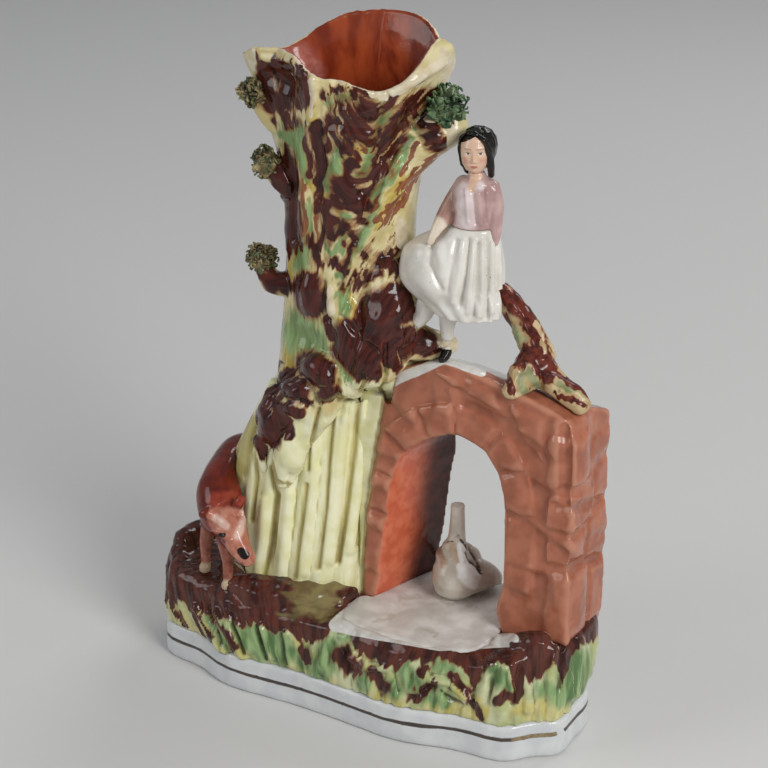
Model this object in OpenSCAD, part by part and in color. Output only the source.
// Spill vase: a hollow tree trunk on a fluted cascade, with a stone arch, a seated
// girl, a cow and a swan. Millimetres, +Z up, front towards -Y, origin under the plinth.

/* [Plinth] */
// Bare ground left of the cascade, where the cow stands
cow_bay = 34; // [30:1:44]
// Plinth showing past the ground at each end
end_margin = 4.5; // [3:0.5:8]
// Ground in front of the arch
apron = 32; // [28:1:36]
// Ground behind the arch
back_margin = 9; // [6:0.5:12]
// Height of the white band
plinth_h = 16.5; // [14:0.5:24]
// How square the plan is in front: 2 is an ellipse
plan_power = 2.8; // [2.4:0.1:3.4]
// How square the bank is at the flat back
back_power = 5; // [3.6:0.1:7]
// How square the plinth is at the back, below the bank
foot_power = 2.5; // [2.2:0.1:5]
// Depth of the wave in the plan
plan_wave = 1.6; // [0:0.1:2.4]
// Wall and floor of the plinth and of the bank
base_wall = 5; // [4:0.5:7]
// Vent hole under the plinth
vent_d = 7; // [4:0.5:10]

/* [Ground and water] */
// Height of the grassy bank above the plinth
bank_h = 25.5; // [18:0.5:30]
// How far the bank leans in by its top
bank_lean = 3; // [1.5:0.5:6]
// How far the blades of grass stand out
grass_relief = 1; // [0:0.1:2]
// How many blade widths the grass leans over at the left end
grass_lean = 3; // [0:0.5:5]
// Thickness of the stream
stream_t = 1.6; // [1:0.1:3]
// Height of the ledge at the foot of the cascade
ledge_h = 9; // [6:0.5:13]

/* [Cascade] */
// Width of the cascade at its foot
fall_w = 60; // [54:1:70]
// Height of the cascade
fall_h = 90; // [80:1:104]
// Reach of the cascade in front of its middle
fall_reach = 28; // [24:1:30]
// Swell of the cascade at mid height
fall_swell = 8; // [2:0.5:10]
// Angle taken by one flute
flute_pitch = 20; // [15:1:30]
// Turn of a flute from foot to top
flute_twist = 20; // [0:1:30]
// Depth of the flutes
flute_depth = 2.6; // [1:0.1:3.5]
// Wall of the cascade
fall_wall = 6; // [5:0.5:8]

/* [Bridge] */
// Width of the masonry between the cascade and the arch
abutment_w = 7; // [5:0.5:12]
// Clear span of the arch at the water
arch_span = 60; // [52:1:68]
// Clear height of the arch
arch_h = 84; // [74:1:90]
// How far the arch's left jamb closes in towards the back
arch_splay = 10.5; // [4:0.5:12]
// Width of the right pillar
pillar_w = 26; // [22:1:34]
// Height of the bridge at its crown
bridge_h = 114; // [106:1:124]
// Depth of the bridge
bridge_d = 34; // [30:1:40]
// Slope of the bridge's top towards the back, in degrees
back_fall = 24; // [12:1:32]
// How far the stone blocks stand out
block_relief = 1.4; // [0.8:0.1:3]

/* [Trunk] */
// Height of the trunk to the middle of its rim
trunk_h = 140; // [126:1:156]
// Half width at the foot
trunk_foot_r = 33; // [30:0.5:36]
// Half width at the waist
trunk_waist_r = 26.5; // [24:0.5:29]
// Half width at the mouth
trunk_mouth_r = 42; // [38:0.5:46]
// Half depth at the foot
trunk_foot_d = 25; // [22:0.5:27]
// Half depth at the waist
trunk_waist_d = 22; // [20:0.5:24]
// Half depth at the mouth
trunk_mouth_d = 29; // [26:0.5:32]
// Height of the waist above the foot
waist_h = 66; // [54:1:76]
// Rise and fall of the rim, front to back
rim_tilt = 11; // [6:0.5:14]
// Wall of the trunk at its rim
rim_wall = 3.6; // [3:0.1:5]
// Wall of the trunk lower down
trunk_wall = 5; // [4:0.5:7]
// Floor of the well
well_floor = 8; // [6:0.5:14]
// Length of the cut limbs
stub_l = 15; // [11:0.5:18]
// Radius of a moss tuft on the left
moss_r = 8; // [6:0.5:10]
// Radius of the moss tuft on the right
right_moss_r = 10; // [8:0.5:12]
// Lumps in one moss tuft
moss_n = 12; // [12:1:20]

/* [Branch and girl] */
// Radius of the branch
branch_r = 5; // [4.5:0.25:6]
// Height of the branch's axis over the bridge's crown
branch_rise = 28; // [25:0.5:33]
// Height of the skirt above the seat
skirt_top = 23.5; // [20:0.5:26]
// Drop of the skirt below the seat
skirt_drop = 11.5; // [10:0.5:14]
// Folds round the skirt
skirt_folds = 15; // [11:1:19]
// Height of the bodice
bodice_h = 21; // [19:0.5:24]
// Height of the head
head_h = 17; // [15:0.5:20]
// Half width of the head
head_r = 5.8; // [5:0.1:7]

/* [Cow and swan] */
// Height of the cow at its back
cow_h = 55; // [48:1:60]
// Length of the cow's body
cow_l = 42; // [36:1:46]
// Half width of the cow's body
cow_r = 10; // [8.5:0.25:11]
// Length of the swan's body
swan_l = 26; // [22:1:30]
// Half width of the swan's body
swan_r = 10.5; // [9:0.25:12]
// Height of the swan
swan_h = 43; // [36:1:50]

/* [Fit] */
// Film of slip between two luted pieces
lute = 0.1; // [0.05:0.05:0.3]

/* [Hidden] */
// Points round the plinth, the cascade and the trunk
base_n = 72;
bank_n = 112;
fall_n = 90;
trunk_n = 66;
// Facets of the rounded lumps
ball_n = 10;

// Plan of the whole
plinth_w = 2 * end_margin + cow_bay + fall_w + abutment_w + arch_span + pillar_w;
plinth_d = apron + bridge_d + back_margin;
fall_x0 = -plinth_w / 2 + end_margin + cow_bay;
fall_x1 = fall_x0 + fall_w;
bridge_y0 = -plinth_d / 2 + apron;
bridge_y1 = bridge_y0 + bridge_d;
bridge_w = abutment_w + arch_span + pillar_w;

// Levels
ground_z = plinth_h + bank_h;
trunk_z = ground_z + fall_h;
bridge_z = ground_z + bridge_h;
branch_z = bridge_z + branch_rise;
seat_z = branch_z + branch_r;
waist_z = seat_z + skirt_top;
neck_z = waist_z + bodice_h;

// Middles of the upright pieces
fall_x = fall_x1 - 32;
fall_y = bridge_y1 - 22;
trunk_x = fall_x1 - 10;
trunk_y = bridge_y1 - 25;
seat_x = fall_x1 + 47;
seat_y = bridge_y0 + 6;
branch_y = bridge_y0 + 20;
cow_x = fall_x0 - 1;
cow_y = bridge_y0 - 12;
swan_x = fall_x1 + 34;
swan_y = bridge_y0 + 20;
swan_z = ground_z + stream_t;

// Curves
function spow(v, p) = sign(v) * pow(abs(v), p);
function bell(t, at, wide) = exp(-pow(((t - at + 540) % 360 - 180) / wide, 2));
function mean(r) = [for (k = [0 : 2]) [for (p = r) p[k]] * [for (p = r) 1] / len(r)];
function spline(a, b, c, d, t) =
    0.5 * (2 * b + (c - a) * t + (2 * a - 5 * b + 4 * c - d) * t * t
    + (3 * b - a - 3 * c + d) * t * t * t);
function curve(p, steps) = concat(
    [for (i = [0 : len(p) - 2]) for (k = [0 : steps - 1])
        spline(p[max(i - 1, 0)], p[i], p[i + 1], p[min(i + 2, len(p) - 1)], k / steps)],
    [p[len(p) - 1]]);
function ring_curve(p, steps) = [for (i = [0 : len(p) - 1]) for (k = [0 : steps - 1])
    spline(p[(i + len(p) - 1) % len(p)], p[i], p[(i + 1) % len(p)], p[(i + 2) % len(p)], k / steps)];
function level_ring(q, n) = [for (i = [0 : n - 1])
    let (t = 360 * i / n) [q[1] + q[2] * cos(t), q[3] + q[4] * sin(t), q[0]]];

// Skin over a stack of rings, capped at both ends or closed on itself
module skin(rings, closed = false) {
    n = len(rings[0]);
    m = len(rings);
    sides = [for (j = [0 : m - (closed ? 1 : 2)]) for (i = [0 : n - 1])
        let (k = (i + 1) % n, u = ((j + 1) % m) * n)
        each [[j * n + i, u + i, j * n + k], [j * n + k, u + i, u + k]]];
    caps = [for (i = [0 : n - 1]) let (k = (i + 1) % n)
        each [[i, k, m * n], [(m - 1) * n + k, (m - 1) * n + i, m * n + 1]]];
    polyhedron(
        points = concat([for (r = rings) each r], closed ? [] : [mean(rings[0]), mean(rings[m - 1])]),
        faces = concat(sides, closed ? [] : caps),
        convexity = 10);
}

// Rounded lumps in a row, each [x, y, z, radius]
module ball(q, n) {
    translate([q[0], q[1], q[2]]) sphere(r = q[3], $fn = n);
}
module chain(p, n = ball_n) {
    for (i = [0 : len(p) - 2]) hull() {
        ball(p[i], n);
        ball(p[i + 1], n);
    }
}
// The same, with every place given from one point
function from(o, p) = [for (q = p) [o[0] + q[0], o[1] + q[1], o[2] + q[2], q[3]]];

// Plan of the plinth and the bank: lobes along the front, a plain back
function plan_lobe(t) = plan_wave * min(1, 3 * abs(sin(t))) * (sin(t) > 0 ? 1.44 : 0.9 + cos(11 * (t - 250)));
function plan_point(t, inset, z) =
    let (e = inset - plan_lobe(t), h = max(0, min(1, (z - plinth_h) / bank_h)),
         k = 2 / (sin(t) > 0 ? foot_power + (back_power - foot_power) * h : plan_power))
    [(plinth_w / 2 - e) * spow(cos(t), k), (plinth_d / 2 - e) * spow(sin(t), k), z];
function plan(inset, z) = [for (i = [0 : base_n - 1]) plan_point(360 * i / base_n, inset, z)];
// Blades of grass along the front, their height share h setting how far they lean
function grass(inset, z, h, relief) = [for (i = [0 : bank_n - 1])
    let (t = 360 * (i + grass_lean * (0.5 - h) * max(0, -cos(360 * i / bank_n))) / bank_n,
         front = max(0, min(1, 0.6 - 3 * sin(t))))
    plan_point(t, inset - front * relief * (i % 2 == 0 ? 1 : -0.7), z)];

module plinth() {
    color("WhiteSmoke") difference() {
        skin([
            plan(1.6, 0), plan(0.6, 1), plan(0.2, 3.5), plan(0.6, plinth_h - 1.5), plan(1.4, plinth_h),
            plan(base_wall + 2, plinth_h), plan(base_wall + 4, base_wall)]);
        translate([trunk_x, 0, -1]) cylinder(d = vent_d, h = base_wall + 2, $fn = 32);
    }
}

module ground_bank() {
    color("OliveDrab") skin([
        grass(bank_lean + base_wall + 6, ground_z - base_wall, 1, 0),
        grass(base_wall + 2, plinth_h, 0, 0), grass(1.4, plinth_h, 0, 0.4),
        grass(bank_lean * 0.25, plinth_h + bank_h * 0.3, 0.3, grass_relief),
        grass(bank_lean * 0.5, plinth_h + bank_h * 0.62, 0.62, grass_relief * 0.9),
        grass(bank_lean * 0.7, plinth_h + bank_h * 0.8, 0.8, 0),
        grass(bank_lean, ground_z - 2, 1, 0), grass(bank_lean + 2.5, ground_z, 1, 0)]);
}

module stream() {
    front = -plinth_d / 2 + bank_lean + 4;
    left = fall_x1 + abutment_w - 2 + lute;
    right = fall_x1 + abutment_w + arch_span * 0.94;
    back = bridge_y1 - 1;
    color("GhostWhite") translate([0, 0, ground_z]) linear_extrude(stream_t) difference() {
        polygon(ring_curve([
            [left, back], [left, bridge_y0 + 4], [left - 6, bridge_y0 - 6], [left - 2, front + 4],
            [left + 14, front], [right - 22, front], [right - 2, front + 6],
            [right + 1, bridge_y0 - 4], [right, back]], 5));
        translate([right, bridge_y0 - 1.5 * block_relief - lute])
            square([2 * pillar_w, bridge_d + 3 * block_relief]);
        polygon([
            [fall_x1 - fall_w, bridge_y0 - block_relief - lute], [left, bridge_y0 - block_relief - lute],
            [left, bridge_y0], [left + arch_splay, bridge_y1], [left + arch_splay, bridge_y1 + bridge_d],
            [fall_x1 - fall_w, bridge_y1 + bridge_d]]);
    }
}

module ledge_solid() {
    o = [fall_x0, bridge_y0, ground_z];
    chain(from(o, [[8, -20, 0, 6], [22, -21, 0, ledge_h], [38, -17, 0, ledge_h], [50, -10, 0, ledge_h],
        [58, -8, 0, 6]]));
    chain(from(o, [[14, -22, 0, 5], [30, -23, 0, 5], [44, -18, 0, 6], [55, -13, 0, 5]]));
    chain(from(o, [[-2, -8, 0, 5], [4, -15, 0, 6]]));
    // The bank rises against the pillar's foot
    p = fall_w + bridge_w;
    chain(from(o, [[p - 25, -8, 0, 2.5], [p - 15, -9, 0, 5.5], [p - 8, -9, 0, 7]]));
    chain(from(o, [[3 - cow_bay, -2, 0, 5], [4 - cow_bay, 8, 0, 6], [6 - cow_bay, 20, 0, 5]]));
}
module rock_ledge() {
    color("SaddleBrown") difference() {
        ledge_solid();
        translate([fall_x0 - fall_w, -plinth_d, ground_z - 2 * ledge_h])
            cube([3 * fall_w, 2 * plinth_d, 2 * ledge_h]);
        fall_solid(lute);
        bridge_solid();
        translate([0, 0, -lute]) scale([1, 1, 4]) translate([0, 0, -ground_z * 0.75]) stream();
    }
}

// The cascade: height share h from foot to top, grown by g
function fall_out(h) = fall_swell * sin(180 * min(1, h * 1.05)) - 15 * pow(max(0, (h - 0.45) / 0.55), 1.5);
function fall_r(t, h, g) =
    let (c = cos(t), s = sin(t),
         ex = (c > 0 ? fall_x1 - fall_x : (fall_x - fall_x0 + fall_out(h)) * (s > 0 ? 0.8 : 1)) - lute,
         ey = s > 0 ? bridge_y1 - fall_y : fall_reach - 5 * h,
         r = pow(pow(abs(c / ex), 2.4) + pow(abs(s / ey), 2.4), -1 / 2.4),
         front = max(0, min(1, -3 * sin(t) + 0.9)))
    r + g + front * flute_depth * (abs(cos(180 * (t - 6 - flute_twist * h) / flute_pitch)) - 0.75);
function fall_ring(h, g) = [for (i = [0 : fall_n - 1])
    let (t = 360 * i / fall_n + flute_twist * h, r = fall_r(t, h, g))
    [min(fall_x + r * cos(t), fall_x1 - lute + g), fall_y + r * sin(t), ground_z + fall_h * h]];
function fall_hollow(h) = [for (i = [0 : fall_n - 1])
    let (t = 360 * i / fall_n + flute_twist * h, r = fall_r(t, h, 0) - fall_wall)
    [min(fall_x + r * cos(t), fall_x1 - fall_wall), fall_y + r * sin(t), ground_z + fall_h * h]];
module fall_solid(g) {
    skin([for (h = [0, 0.12, 0.35, 0.6, 0.85, 1]) fall_ring(h, g)]);
}
module waterfall() {
    color("Khaki") skin(concat(
        [for (h = [0, 0.12, 0.35, 0.6, 0.85, 1]) fall_ring(h, 0)],
        [for (h = [1, 0.6, 0]) fall_hollow(h)]), closed = true);
}

// The trunk: height share u from foot to rim, grown by g
function trunk_bend(u, foot, waist, mouth) =
    let (w = waist_h / trunk_h)
    u < w ? waist + (foot - waist) * pow((w - u) / w, 1.6)
          : waist + (mouth - waist) * pow((u - w) / (1 - w), 2.1);
// Waves of the rim: [angle, width, height]
rim_waves = [[232, 26, 12], [258, 16, 8], [284, 16, 4], [314, 14, -2.5], [349, 15, 10], [34, 22, -10],
    [150, 24, -7.5]];
function rim_z(t) = trunk_h + rim_tilt * cos(t - 75)
    + [for (w = rim_waves) bell(t, w[0], w[1])] * [for (w = rim_waves) w[2]];
// Limbs and furrows that climb the front: [relief, width in degrees, [[height share, angle], ...]]
bark = [
    [0.09, 8, [[0.34, 257], [0.5, 251], [0.7, 250], [0.86, 262], [1, 273]]],
    [-0.08, 6, [[0.45, 273], [0.67, 269], [0.8, 276], [1, 284]]],
    [-0.08, 6, [[0.36, 282], [0.5, 296], [0.62, 309], [0.73, 323], [0.85, 332]]],
    [-0.06, 7, [[0.45, 228], [0.7, 238], [0.9, 240], [1, 236]]],
    [0.05, 8, [[0.55, 298], [0.7, 296], [0.85, 292], [1, 300]]]];
function bark_at(t, u, b) =
    let (p = b[2], n = len(p) - 1, ends = min(u - p[0][0], p[n][0] + 0.08 - u) / 0.08)
    b[0] * max(0, min(1, ends)) * bell(t, lookup(u, p), b[1]);
function trunk_lobe(t, u) =
    1 + pow(u, 3) * (0.08 * bell(t, 205, 24) - 0.06 * bell(t, 240, 15) + 0.06 * bell(t, 20, 24))
    - max(0, 1 - 5 * u) * (0.3 * bell(t, 318, 38) + 0.12 * bell(t, 280, 25)) + 0.025 * cos(5 * t + 40)
    + [for (b = bark) bark_at(t, u, b)] * [for (b = bark) 1];
function trunk_point(t, u, g) =
    let (k = trunk_lobe(t, u),
         rx = trunk_bend(u, trunk_foot_r, trunk_waist_r, trunk_mouth_r),
         ry = trunk_bend(u, trunk_foot_d, trunk_waist_d, trunk_mouth_d))
    [trunk_x + (rx * k + g) * cos(t), trunk_y + (ry * k + g) * sin(t), trunk_z + u * rim_z(t)];
function trunk_ring(u, g) = [for (i = [0 : trunk_n - 1]) trunk_point(360 * i / trunk_n, u, g)];
function well_ring(u) =
    let (ring = trunk_ring(u, -rim_wall - (trunk_wall - rim_wall) * min(1, 3 * (1 - u))))
    [for (p = ring) [p[0], p[1], max(p[2], trunk_z + well_floor)]];
trunk_steps = [0, 0.08, 0.17, 0.28, 0.4, 0.52, 0.63, 0.73, 0.82, 0.9, 0.97];
module trunk_solid(g) {
    skin([for (u = concat(trunk_steps, [1.02])) trunk_ring(u, g)]);
}
module trunk() {
    color("Sienna") skin(concat(
        [for (u = trunk_steps) trunk_ring(u, 0)],
        [trunk_ring(1, -0.8), trunk_ring(1, -rim_wall + 0.8)],
        [for (u = [0.95, 0.86, 0.74, 0.6, 0.44, 0.28, 0.12]) well_ring(u)],
        [[for (p = well_ring(0.12)) [p[0], p[1], trunk_z + well_floor]]]));
}

// Roots: knotted lumps over the foot of the trunk and the top of the cascade
module left_root_solid() {
    o = [trunk_x, trunk_y, trunk_z];
    chain(curve(from(o, [[3, -21, 16, 9], [-10, -21, 3, 8.5], [-22, -19, -10, 8], [-31, -16, -26, 7],
        [-30, -19, -34, 4]]), 2));
    chain(from(o, [[3, -21, 16, 8], [9, -21, 7, 6.5]]));
    chain(from(o, [[-4, -21, 8, 7], [-8, -23, -3, 5]]));
    chain(from(o, [[-24, -18, -4, 7], [-33, -13, -16, 6]]));
}
module front_root_solid() {
    o = [trunk_x, trunk_y, trunk_z];
    chain(curve(from(o, [[0, -20, 2, 6.5], [-6, -20, -6, 6.5], [-13, -20, -16, 7], [-19, -20.5, -28, 7],
        [-20, -22, -37, 4.5]]), 2));
}
// The right one grips the crown of the bridge and stands beside the seat
module right_root_solid() {
    o = [trunk_x, trunk_y, bridge_z];
    chain(curve(from(o, [[20, -10, branch_rise + 6, 7], [23, -11, branch_rise - 6, 11], [23, -12, 8, 13],
        [19, -15, -4, 10], [14, -18, -10, 7]]), 2));
    chain(curve(from(o, [[28, -7, 6, 9], [36, -1, 2, 7], [43, 2, 3, 4]]), 2));
    chain(from(o, [[8, -20, branch_rise - 8, 6], [12, -19, 6, 7], [10, -20, -2, 6]]));
}
module left_root() {
    color("Maroon") difference() {
        left_root_solid();
        trunk_solid(lute);
        fall_solid(lute);
    }
}
module front_root() {
    color("Maroon") difference() {
        front_root_solid();
        trunk_solid(lute);
        fall_solid(lute);
        minkowski() {
            left_root_solid();
            cube(2 * lute, center = true);
        }
        bridge_solid();
    }
}
module right_root() {
    color("Maroon") difference() {
        right_root_solid();
        trunk_solid(lute);
        fall_solid(lute);
        bridge_solid();
        front_root_solid();
        left_root_solid();
    }
}

// Stone arch: front outline and opening, from the cascade's side and the ground
bridge_line = concat(
    [[0, 0], [0, bridge_h - 22]],
    curve([[2, bridge_h - 19], [16, bridge_h - 8], [34, bridge_h - 0.5], [48, bridge_h - 1.5]], 3),
    curve([[62, bridge_h - 5], [bridge_w - 6, bridge_h - 12], [bridge_w - 1, bridge_h - 16]], 3),
    [[bridge_w, bridge_h - 22], [bridge_w, 0]]);
arch_line = curve([
    [abutment_w - 2, -1], [abutment_w + 3, arch_h * 0.32], [abutment_w + 6.5, arch_h * 0.64],
    [abutment_w + 11, arch_h * 0.81], [abutment_w + arch_span * 0.34, arch_h * 0.93],
    [abutment_w + arch_span * 0.6, arch_h], [abutment_w + arch_span * 0.8, arch_h * 0.95],
    [abutment_w + arch_span * 0.91, arch_h * 0.85], [abutment_w + arch_span * 0.965, arch_h * 0.66],
    [abutment_w + arch_span * 0.97, arch_h * 0.32], [abutment_w + arch_span * 0.92, arch_h * 0.13],
    [abutment_w + arch_span * 0.97, -1]], 4);
// The mould's draft: towards the back the left jamb closes in, below the haunch
function arch_back(p) = [p[0] + (p[0] < abutment_w + arch_span / 2
    ? arch_splay * min(1, max(0, (1 - p[1] / arch_h) / 0.28)) : 0), p[1]];
module bridge_core() {
    difference() {
        translate([fall_x1, bridge_y1, ground_z]) rotate([90, 0, 0]) linear_extrude(bridge_d)
            polygon(bridge_line);
        translate([fall_x1, 0, ground_z]) skin([for (k = [-0.1, 1.1])
            [for (p = arch_line) let (q = p + k * (arch_back(p) - p))
                [q[0], bridge_y0 + k * bridge_d, q[1]]]]);
        // The top falls away towards the back
        for (k = [0, 1]) translate([fall_x1 + 34, bridge_y0 + 5, bridge_z])
            rotate([-back_fall, k * 14 - 6, 0])
            translate([k > 0 ? -1 : -bridge_w, 0, 0]) cube([bridge_w + 1, 2 * bridge_d, bridge_h]);
    }
}
// One rough stone on the front, its outline given like the arch's
module stone(p) {
    c = [for (k = [0, 1]) [for (q = p) q[k]] * [for (q = p) 1] / len(p)];
    translate([fall_x1, bridge_y0, ground_z]) rotate([90, 0, 0]) hull() {
        translate([0, 0, -0.2]) linear_extrude(0.3) polygon([for (q = p) c + (q - c) * 0.95]);
        linear_extrude(block_relief) polygon([for (q = p) c + (q - c) * 0.78]);
    }
}
// Out from the arch by r, square to its line
function arch_off(i, r) =
    let (d = arch_line[i + 1] - arch_line[i - 1], o = [-d[1], d[0]] / norm(d) * r, q = arch_line[i] + o)
    [max(q[0], 0.4), min(q[1], bridge_h - 3)];
// One quoin at the right end, wrapped round the corner, from z0 to z1
module quoin(z0, z1, y0, y1, out) {
    x = fall_x1 + bridge_w;
    hull() {
        translate([x - 9, bridge_y0 + y0, ground_z + z0]) cube([9, y1 - y0, z1 - z0]);
        translate([x - 9, bridge_y0 + y0 + 1.5 - (y0 > 1 ? 0 : out + 1.5), ground_z + z0 + 3])
            cube([9 + out, y1 - y0 - 3 + (y0 > 1 ? 0 : out), z1 - z0 - 6]);
    }
}
module stones() {
    r = block_relief;
    // Ring of stones round the arch
    for (k = [[2, 6], [6, 9], [9, 13], [13, 17], [17, 20], [20, 24], [24, 28], [28, 32], [32, 37]])
        stone(concat(
            [for (i = [k[0] : k[1]]) arch_off(i, 0.4)],
            [for (i = [k[1] : -1 : k[0]]) arch_off(i, i < 13 ? 9 : 14)]));
    // Stones over the ring
    stone([[30, bridge_h - 4], [48, bridge_h - 5], [62, bridge_h - 9], [64, bridge_h - 15],
        [48, bridge_h - 11]]);
    stone([[66, bridge_h - 11], [bridge_w - 12, bridge_h - 14], [bridge_w - 11, bridge_h - 34],
        [72, bridge_h - 26]]);
    // Quoins
    quoin(2, 35, 0, bridge_d * 0.55, r);
    quoin(2, 30, bridge_d * 0.58, bridge_d, r * 0.8);
    quoin(37, 51, 0, bridge_d * 0.42, r * 1.1);
    quoin(33, 55, bridge_d * 0.46, bridge_d, r * 0.8);
    quoin(53, 69, 0, bridge_d * 0.6, r * 1.2);
    quoin(58, 74, bridge_d * 0.62, bridge_d, r * 0.7);
    quoin(72, bridge_h - 20, 0, bridge_d * 0.45, r);
    quoin(76, bridge_h - 26, bridge_d * 0.48, bridge_d, r * 0.7);
}
module bridge_solid() {
    bridge_core();
    stones();
}
module bridge() {
    color("LightSalmon") difference() {
        bridge_solid();
        trunk_solid(lute);
        fall_solid(lute);
    }
}

// Cut limbs
upper_left = [trunk_x - trunk_mouth_r * 0.66, trunk_y - 14, trunk_z + trunk_h * 0.83];
middle_left = [trunk_x - trunk_waist_r * 0.78, trunk_y - 13, trunk_z + trunk_h * 0.64];
lower_left = [trunk_x - trunk_waist_r * 0.85, trunk_y - 11, trunk_z + trunk_h * 0.33];
right_side = [trunk_x + trunk_mouth_r * 0.8, trunk_y + 2, trunk_z + trunk_h * 0.775];
module upper_left_stub_solid() {
    l = stub_l;
    chain(curve(from(upper_left, [[6, 5, -9, 6], [2, 2, -4, 6], [-l * 0.15, 0, 0, 5],
        [-l * 0.3, -2, 4, 4]]), 3), 10);
}
module middle_left_stub_solid() {
    l = stub_l;
    chain(curve(from(middle_left, [[6, 5, -6, 6], [1, 1, -2, 6], [-l * 0.2, -2, 1, 5],
        [-l * 0.35, -3, 4, 4]]), 3), 10);
}
module lower_left_stub_solid() {
    l = stub_l;
    chain(curve(from(lower_left, [[6, 4, -5, 6], [0, 0, -2, 5.5], [-l * 0.4, -3, -1, 5],
        [-l * 0.65, -4, 4, 4]]), 3), 10);
}
module right_stub_solid() {
    l = stub_l;
    // It starts low on the front, half sunk in the trunk: angle, height share, radius
    rise = [for (q = [[290, 0.4, 3.5], [302, 0.49, 4.5], [318, 0.6, 5.8], [332, 0.69, 6.8]])
        concat(trunk_point(q[0], q[1], -1.5), q[2])];
    chain(curve(concat(rise, from(right_side, [[-7, -6, -7, 8], [-1, -3, 1, 9], [l * 0.35, -1, 5, 8.5],
        [l * 0.6, 0, 7, 7]])), 2), 10);
}
module cut_limb() {
    color("Peru") difference() {
        children(0);
        trunk_solid(lute);
        if ($children > 1) children(1);
    }
}
module upper_left_stub() {
    cut_limb() upper_left_stub_solid();
}
module middle_left_stub() {
    cut_limb() middle_left_stub_solid();
}
module lower_left_stub() {
    cut_limb() lower_left_stub_solid();
}
module right_stub() {
    cut_limb() {
        right_stub_solid();
        right_root_solid();
    }
}

// Moss: clay pushed through a sieve and gathered in a tuft
module moss(p, r) {
    color("DarkOliveGreen") difference() {
        union() {
            translate(p) sphere(r = r * 0.75, $fn = 10);
            for (i = [0 : moss_n - 1]) {
                c = 1 - 2 * (i + 0.5) / moss_n;
                s = sqrt(1 - c * c);
                d = [s * cos(137.5 * i), s * sin(137.5 * i), c];
                hull() {
                    translate(p + d * r * 0.45) sphere(r = r * 0.34, $fn = 5);
                    translate(p + d * r * 0.84) sphere(r = r * 0.17, $fn = 5);
                }
            }
        }
        trunk_solid(lute);
        children();
    }
}
module upper_left_moss() {
    moss(upper_left + [-stub_l * 0.35, -3, 7], moss_r) upper_left_stub_solid();
}
module middle_left_moss() {
    moss(middle_left + [-stub_l * 0.45, -5, 6], moss_r) {
        middle_left_stub_solid();
        upper_left_stub_solid();
    }
}
module lower_left_moss() {
    moss(lower_left + [-stub_l * 0.7, -4, 8], moss_r) lower_left_stub_solid();
}
module right_moss() {
    moss(right_side + [stub_l * 0.55, -3, 15], right_moss_r) right_stub_solid();
}

// Bent limb, from the trunk over to the bridge, ending in two toes
module branch() {
    o = [fall_x1, branch_y, branch_z];
    r = branch_r;
    color("Brown") difference() {
        union() {
            chain(curve(from(o, [[14, -4, -15, r + 2], [26, -1, -5, r + 1], [38, 0, 0, r], [50, 0, -3, r],
                [60, -2, -10, r], [67, -4, -18, r + 0.5], [71, -7, 5 - branch_rise, r + 2]]), 2));
            chain(from(o, [[71, -9, 2 - branch_rise, r + 3], [69, -15, -1 - branch_rise, r + 1.5],
                [67, -21, -5 - branch_rise, r - 1.5]]));
            chain(from(o, [[74, -9, -branch_rise, r + 1.5], [80, -10, -3 - branch_rise, r],
                [91, -10, -10 - branch_rise, r - 1]]));
        }
        trunk_solid(lute);
        right_root_solid();
        bridge_solid();
    }
}

// Girl, seated: rings of [z, middle x, half width, middle y, half depth] from the seat
skirt_lines = [
    [-skirt_drop, -1.5, 13.5, -4.5, 10], [-skirt_drop * 0.5, -5.5, 18, -5, 10.5], [lute, -9.5, 21, -5.5, 11],
    [lute + 0.05, -9.5, 21.2, -2, 15], [skirt_top * 0.35, -9.5, 21, -1.5, 15],
        [skirt_top * 0.65, -9.2, 19.8, -1.5, 13],
    [skirt_top * 0.88, -7, 16.5, -1, 10.5], [skirt_top, -1.5, 10, -1, 8.5]];
function fold_ring(q) = [for (i = [0 : 71])
    let (t = 360 * i / 72, low = max(0, min(1, (skirt_top * 0.8 - q[0]) / skirt_top)),
         k = 1 + 0.05 * low * cos(skirt_folds * t) * (cos(t) > -0.4 ? 1 : 0.25))
    [seat_x + q[1] + q[2] * k * cos(t), seat_y + q[3] + q[4] * k * sin(t), seat_z + q[0]]];
module girl_skirt() {
    color("Ivory") skin([for (q = skirt_lines) fold_ring(q)]);
}
module girl_bodice() {
    color("Plum") translate([seat_x, seat_y, waist_z + lute]) skin([for (q = [
        [0, -0.8, 8.8, -1, 8], [bodice_h * 0.2, -0.5, 8.2, -1, 7.6], [bodice_h * 0.45, -0.3, 8.6, -1.5, 8.4],
        [bodice_h * 0.7, 0, 8.4, -1, 7.8], [bodice_h * 0.84, 0, 6.6, -0.5, 6.2],
            [bodice_h * 0.9, 0, 3.8, -0.5, 3.8],
        [bodice_h, 0, 3, -1, 3]]) level_ring(q, 28)]);
}
module head_solid(g) {
    translate([seat_x, seat_y - 1.5, neck_z + 2 * lute]) skin([for (q = [
        [0, 0, 2.4, 0.2, 2.8], [head_h * 0.08, 0, head_r * 0.6, -0.6, 4.4],
            [head_h * 0.22, 0, head_r * 0.82, -0.6, 5.8],
        [head_h * 0.42, 0, head_r * 0.97, 0, 6.8], [head_h * 0.62, 0, head_r, 0.4, 7.2],
        [head_h * 0.8, 0, head_r * 0.88, 0.6, 6.3], [head_h * 0.93, 0, head_r * 0.58, 0.7, 4.2],
        [head_h, 0, head_r * 0.15, 0.7, 1.2]]) [for (p = level_ring(q, 28))
            let (m = [q[1], q[3]], v = [p[0], p[1]] - m) [m[0] + v[0] * (1 + g / norm(v)),
                m[1] + v[1] * (1 + g / norm(v)), p[2]]]]);
}
module girl_head() {
    color("Bisque") head_solid(0);
}
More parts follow.
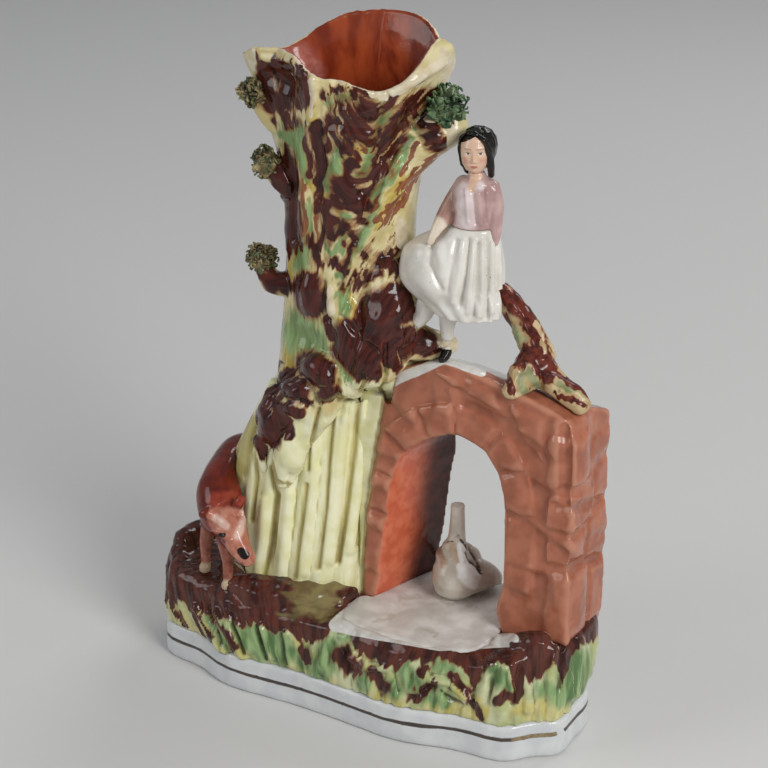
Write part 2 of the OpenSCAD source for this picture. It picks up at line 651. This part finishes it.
module girl_hair() {
    o = [seat_x, seat_y - 1, neck_z];
    r = head_r;
    color("Black") difference() {
        union() for (s = [-1, 1]) {
            chain(curve(from(o, [[s * 0.8, -4.2, head_h - 1.5, 1.4], [s * r * 0.72, -3.6, head_h * 0.78, 1.6],
                [s * r, -1.6, head_h * 0.5, 1.6], [s * r * 0.98, 0.5, head_h * 0.15, 1.7],
                [s * r * 0.85, 2.5, -1, 1.4]]), 1), 8);
            hull() {
                translate(o + [s, 1.2, head_h * 0.6]) scale([0.86, 1, 1]) sphere(r = head_h * 0.42, $fn = 14);
                translate(o + [s, 3.2, head_h * 0.3]) sphere(r = head_h * 0.27, $fn = 10);
            }
        }
        head_solid(lute);
        hull() {
            translate(o + [0, -14, head_h * 0.35]) cube([2 * r - 1.5, 22, head_h * 0.75], center = true);
            translate(o + [0, -14, head_h * 0.5]) cube([5, 22, head_h * 0.8], center = true);
        }
        translate([0, 0, -lute]) scale([1, 1, 1]) minkowski() {
            girl_bodice();
            cube(2 * lute, center = true);
        }
    }
}
module girl_limb() {
    color("Plum") difference() {
        children();
        translate([0, 0, lute]) girl_bodice();
        girl_bodice();
        girl_skirt();
        head_solid(lute);
    }
}
module girl_right_arm() {
    o = [seat_x, seat_y, waist_z];
    girl_limb() {
        chain(curve(from(o, [[-6, 0, bodice_h * 0.72, 3.4], [-9, -2.5, bodice_h * 0.4, 3.6],
            [-11, -6, bodice_h * 0.12, 3.4], [-12, -9, -2, 3], [-13, -11.5, -6, 2.4]]), 2), 10);
    }
}
module girl_left_arm() {
    o = [seat_x, seat_y, waist_z];
    girl_limb() {
        chain(curve(from(o, [[6, 0, bodice_h * 0.72, 3.4], [7.6, 0, bodice_h * 0.45, 3.4],
            [8.2, -1, bodice_h * 0.15, 3],
            [8.6, -2, -2, 2.6], [8.6, -2.5, -5, 2]]), 2), 10);
    }
}
module girl_legs() {
    o = [seat_x, seat_y, seat_z];
    color("White") difference() {
        union() {
            chain(curve(from(o, [[-8, -4, -8, 5], [-9, -4, -skirt_drop, 4], [-10.5, -3, -skirt_drop - 6, 2.8],
                [-11, -2, branch_r - branch_rise - 0, 2.2]]), 2), 8);
            chain(curve(from(o, [[-14, -6, -4, 5], [-17, -7, -skirt_drop * 0.75, 4],
                [-19, -7, -skirt_drop - 3, 3],
                [-22, -8, -skirt_drop - 7, 2.2]]), 2), 8);
        }
        girl_skirt();
        trunk_solid(lute);
        right_root_solid();
        shoes_solid();
        bridge_solid();
        branch();
    }
}
module shoes_solid() {
    o = [seat_x, seat_y, seat_z];
    chain(curve(from(o, [[-11, -2, branch_r - branch_rise - 7, 2.2],
        [-11.2, -3.5, branch_r - branch_rise - 8.6, 2.1],
        [-11.6, -5, branch_r - branch_rise - 9.6, 1.7]]), 2), 8);
    chain(curve(from(o, [[-22, -8, -skirt_drop - 7, 2.2], [-23.5, -9, -skirt_drop - 8.2, 2],
        [-25, -10, -skirt_drop - 9.2, 1.6]]), 2), 8);
}
module girl_shoes() {
    color("Black") difference() {
        shoes_solid();
        trunk_solid(lute);
        right_root_solid();
        bridge_solid();
        girl_skirt();
    }
}

// Cow: places from the ground between its front hooves
module cow_body_solid() {
    o = [cow_x, cow_y, ground_z];
    r = cow_r;
    chain(curve(from(o, [[2, -8, cow_h * 0.56, r * 0.8], [-2, -1, cow_h - r - 7, r + 0.5],
        [-6, cow_l * 0.35, cow_h - r - 3, r + 0.5], [-9, cow_l * 0.6, cow_h - r - 2, r],
        [-10, cow_l * 0.82, cow_h - r - 4, r - 1]]), 2));
}
module cow_head_solid() {
    o = [cow_x, cow_y, ground_z];
    chain(curve(from(o, [[2, -5, cow_h * 0.58, 8.5], [7, -9, cow_h * 0.58, 7.6], [11, -12, cow_h * 0.53, 6.8],
        [16, -14, cow_h * 0.44, 5], [20.5, -15, cow_h * 0.36, 4]]), 3));
}
module cow_body() {
    color("IndianRed") difference() {
        cow_body_solid();
        fall_solid(lute);
    }
}
module cow_head() {
    color("RosyBrown") difference() {
        cow_head_solid();
        cow_body_solid();
        fall_solid(lute);
    }
}
module cow_ears() {
    o = [cow_x, cow_y, ground_z];
    color("IndianRed") difference() {
        union() {
            chain(curve(from(o, [[5, -14, cow_h * 0.62, 2.8], [2, -16, cow_h * 0.66, 2.5],
                [0, -17, cow_h * 0.65, 1.6]]), 2), 8);
            chain(curve(from(o, [[12, -9, cow_h * 0.66, 3], [13, -8, cow_h * 0.74, 2.5],
                [14, -8, cow_h * 0.77, 1.6]]), 2), 8);
        }
        cow_head_solid();
        cow_body_solid();
        fall_solid(lute);
    }
}
module cow_legs() {
    o = [cow_x, cow_y, ground_z];
    color("RosyBrown") difference() {
        union() {
            for (q = [[-9, -3], [8, -11], [-15, cow_l * 0.74], [-6, cow_l * 0.78]])
                chain(curve(from(o, [[q[0] * 0.7, q[1] + 2, cow_h * 0.52, 5], [q[0], q[1], cow_h * 0.24, 2.6],
                    [q[0], q[1], 3.5, 2.3], [q[0], q[1] - 1, 2, 2.8]]), 1), 8);
        }
        cow_body_solid();
        cow_head_solid();
        fall_solid(lute);
        translate([cow_x - 50, cow_y - 50, 0]) cube([100, 150, ground_z]);
        ledge_solid();
    }
}
module cow_tail() {
    o = [cow_x - 6, cow_y + cow_l * 0.82, ground_z];
    color("IndianRed") difference() {
        chain(curve(from(o, [[-4, cow_r - 4, cow_h - cow_r, 2.4], [-5, cow_r + 0.5, cow_h - cow_r - 4, 2],
            [-6, cow_r, cow_h * 0.5, 1.8], [-6, cow_r - 2, cow_h * 0.32, 2.4]]), 3), 8);
        cow_body_solid();
    }
}

// Swan: floats on the stream under the arch, breast to the front, its neck broken off short
module swan_body_solid() {
    l = swan_l / 2;
    translate([swan_x, swan_y, swan_z]) skin([for (q = [
        [0, 0, swan_r * 0.6, 0, l * 0.6], [3, 0, swan_r * 0.88, 0, l * 0.87], [8, 0, swan_r, 0, l],
        [13, 0, swan_r * 0.95, 0.5, l * 0.97], [17, 0, swan_r * 0.75, 1, l * 0.82],
        [20, 0, swan_r * 0.42, 1.5, l * 0.5], [21, 0, swan_r * 0.15, 2, l * 0.2]]) level_ring(q, 28)]);
}
module swan_body() {
    color("White") swan_body_solid();
}
module swan_neck() {
    o = [swan_x + 2.4, swan_y - swan_l * 0.16, swan_z];
    color("White") difference() {
        chain(curve(from(o, [[0, 0, 13, 6.8], [-0.5, 0, 20, 5], [-1, 0, swan_h * 0.64, 3.8],
            [-1, 0.5, swan_h * 0.85, 3.1], [-1, 0.5, swan_h, 3]]), 2));
        swan_body_solid();
        translate(o + [-10, -10, swan_h]) cube(20);
    }
}

plinth();
ground_bank();
stream();
rock_ledge();
waterfall();
bridge();
trunk();
left_root();
front_root();
right_root();
upper_left_stub();
middle_left_stub();
lower_left_stub();
right_stub();
upper_left_moss();
middle_left_moss();
lower_left_moss();
right_moss();
branch();
girl_skirt();
girl_bodice();
girl_head();
girl_hair();
girl_right_arm();
girl_left_arm();
girl_legs();
girl_shoes();
cow_body();
cow_head();
cow_ears();
cow_legs();
cow_tail();
swan_body();
swan_neck();
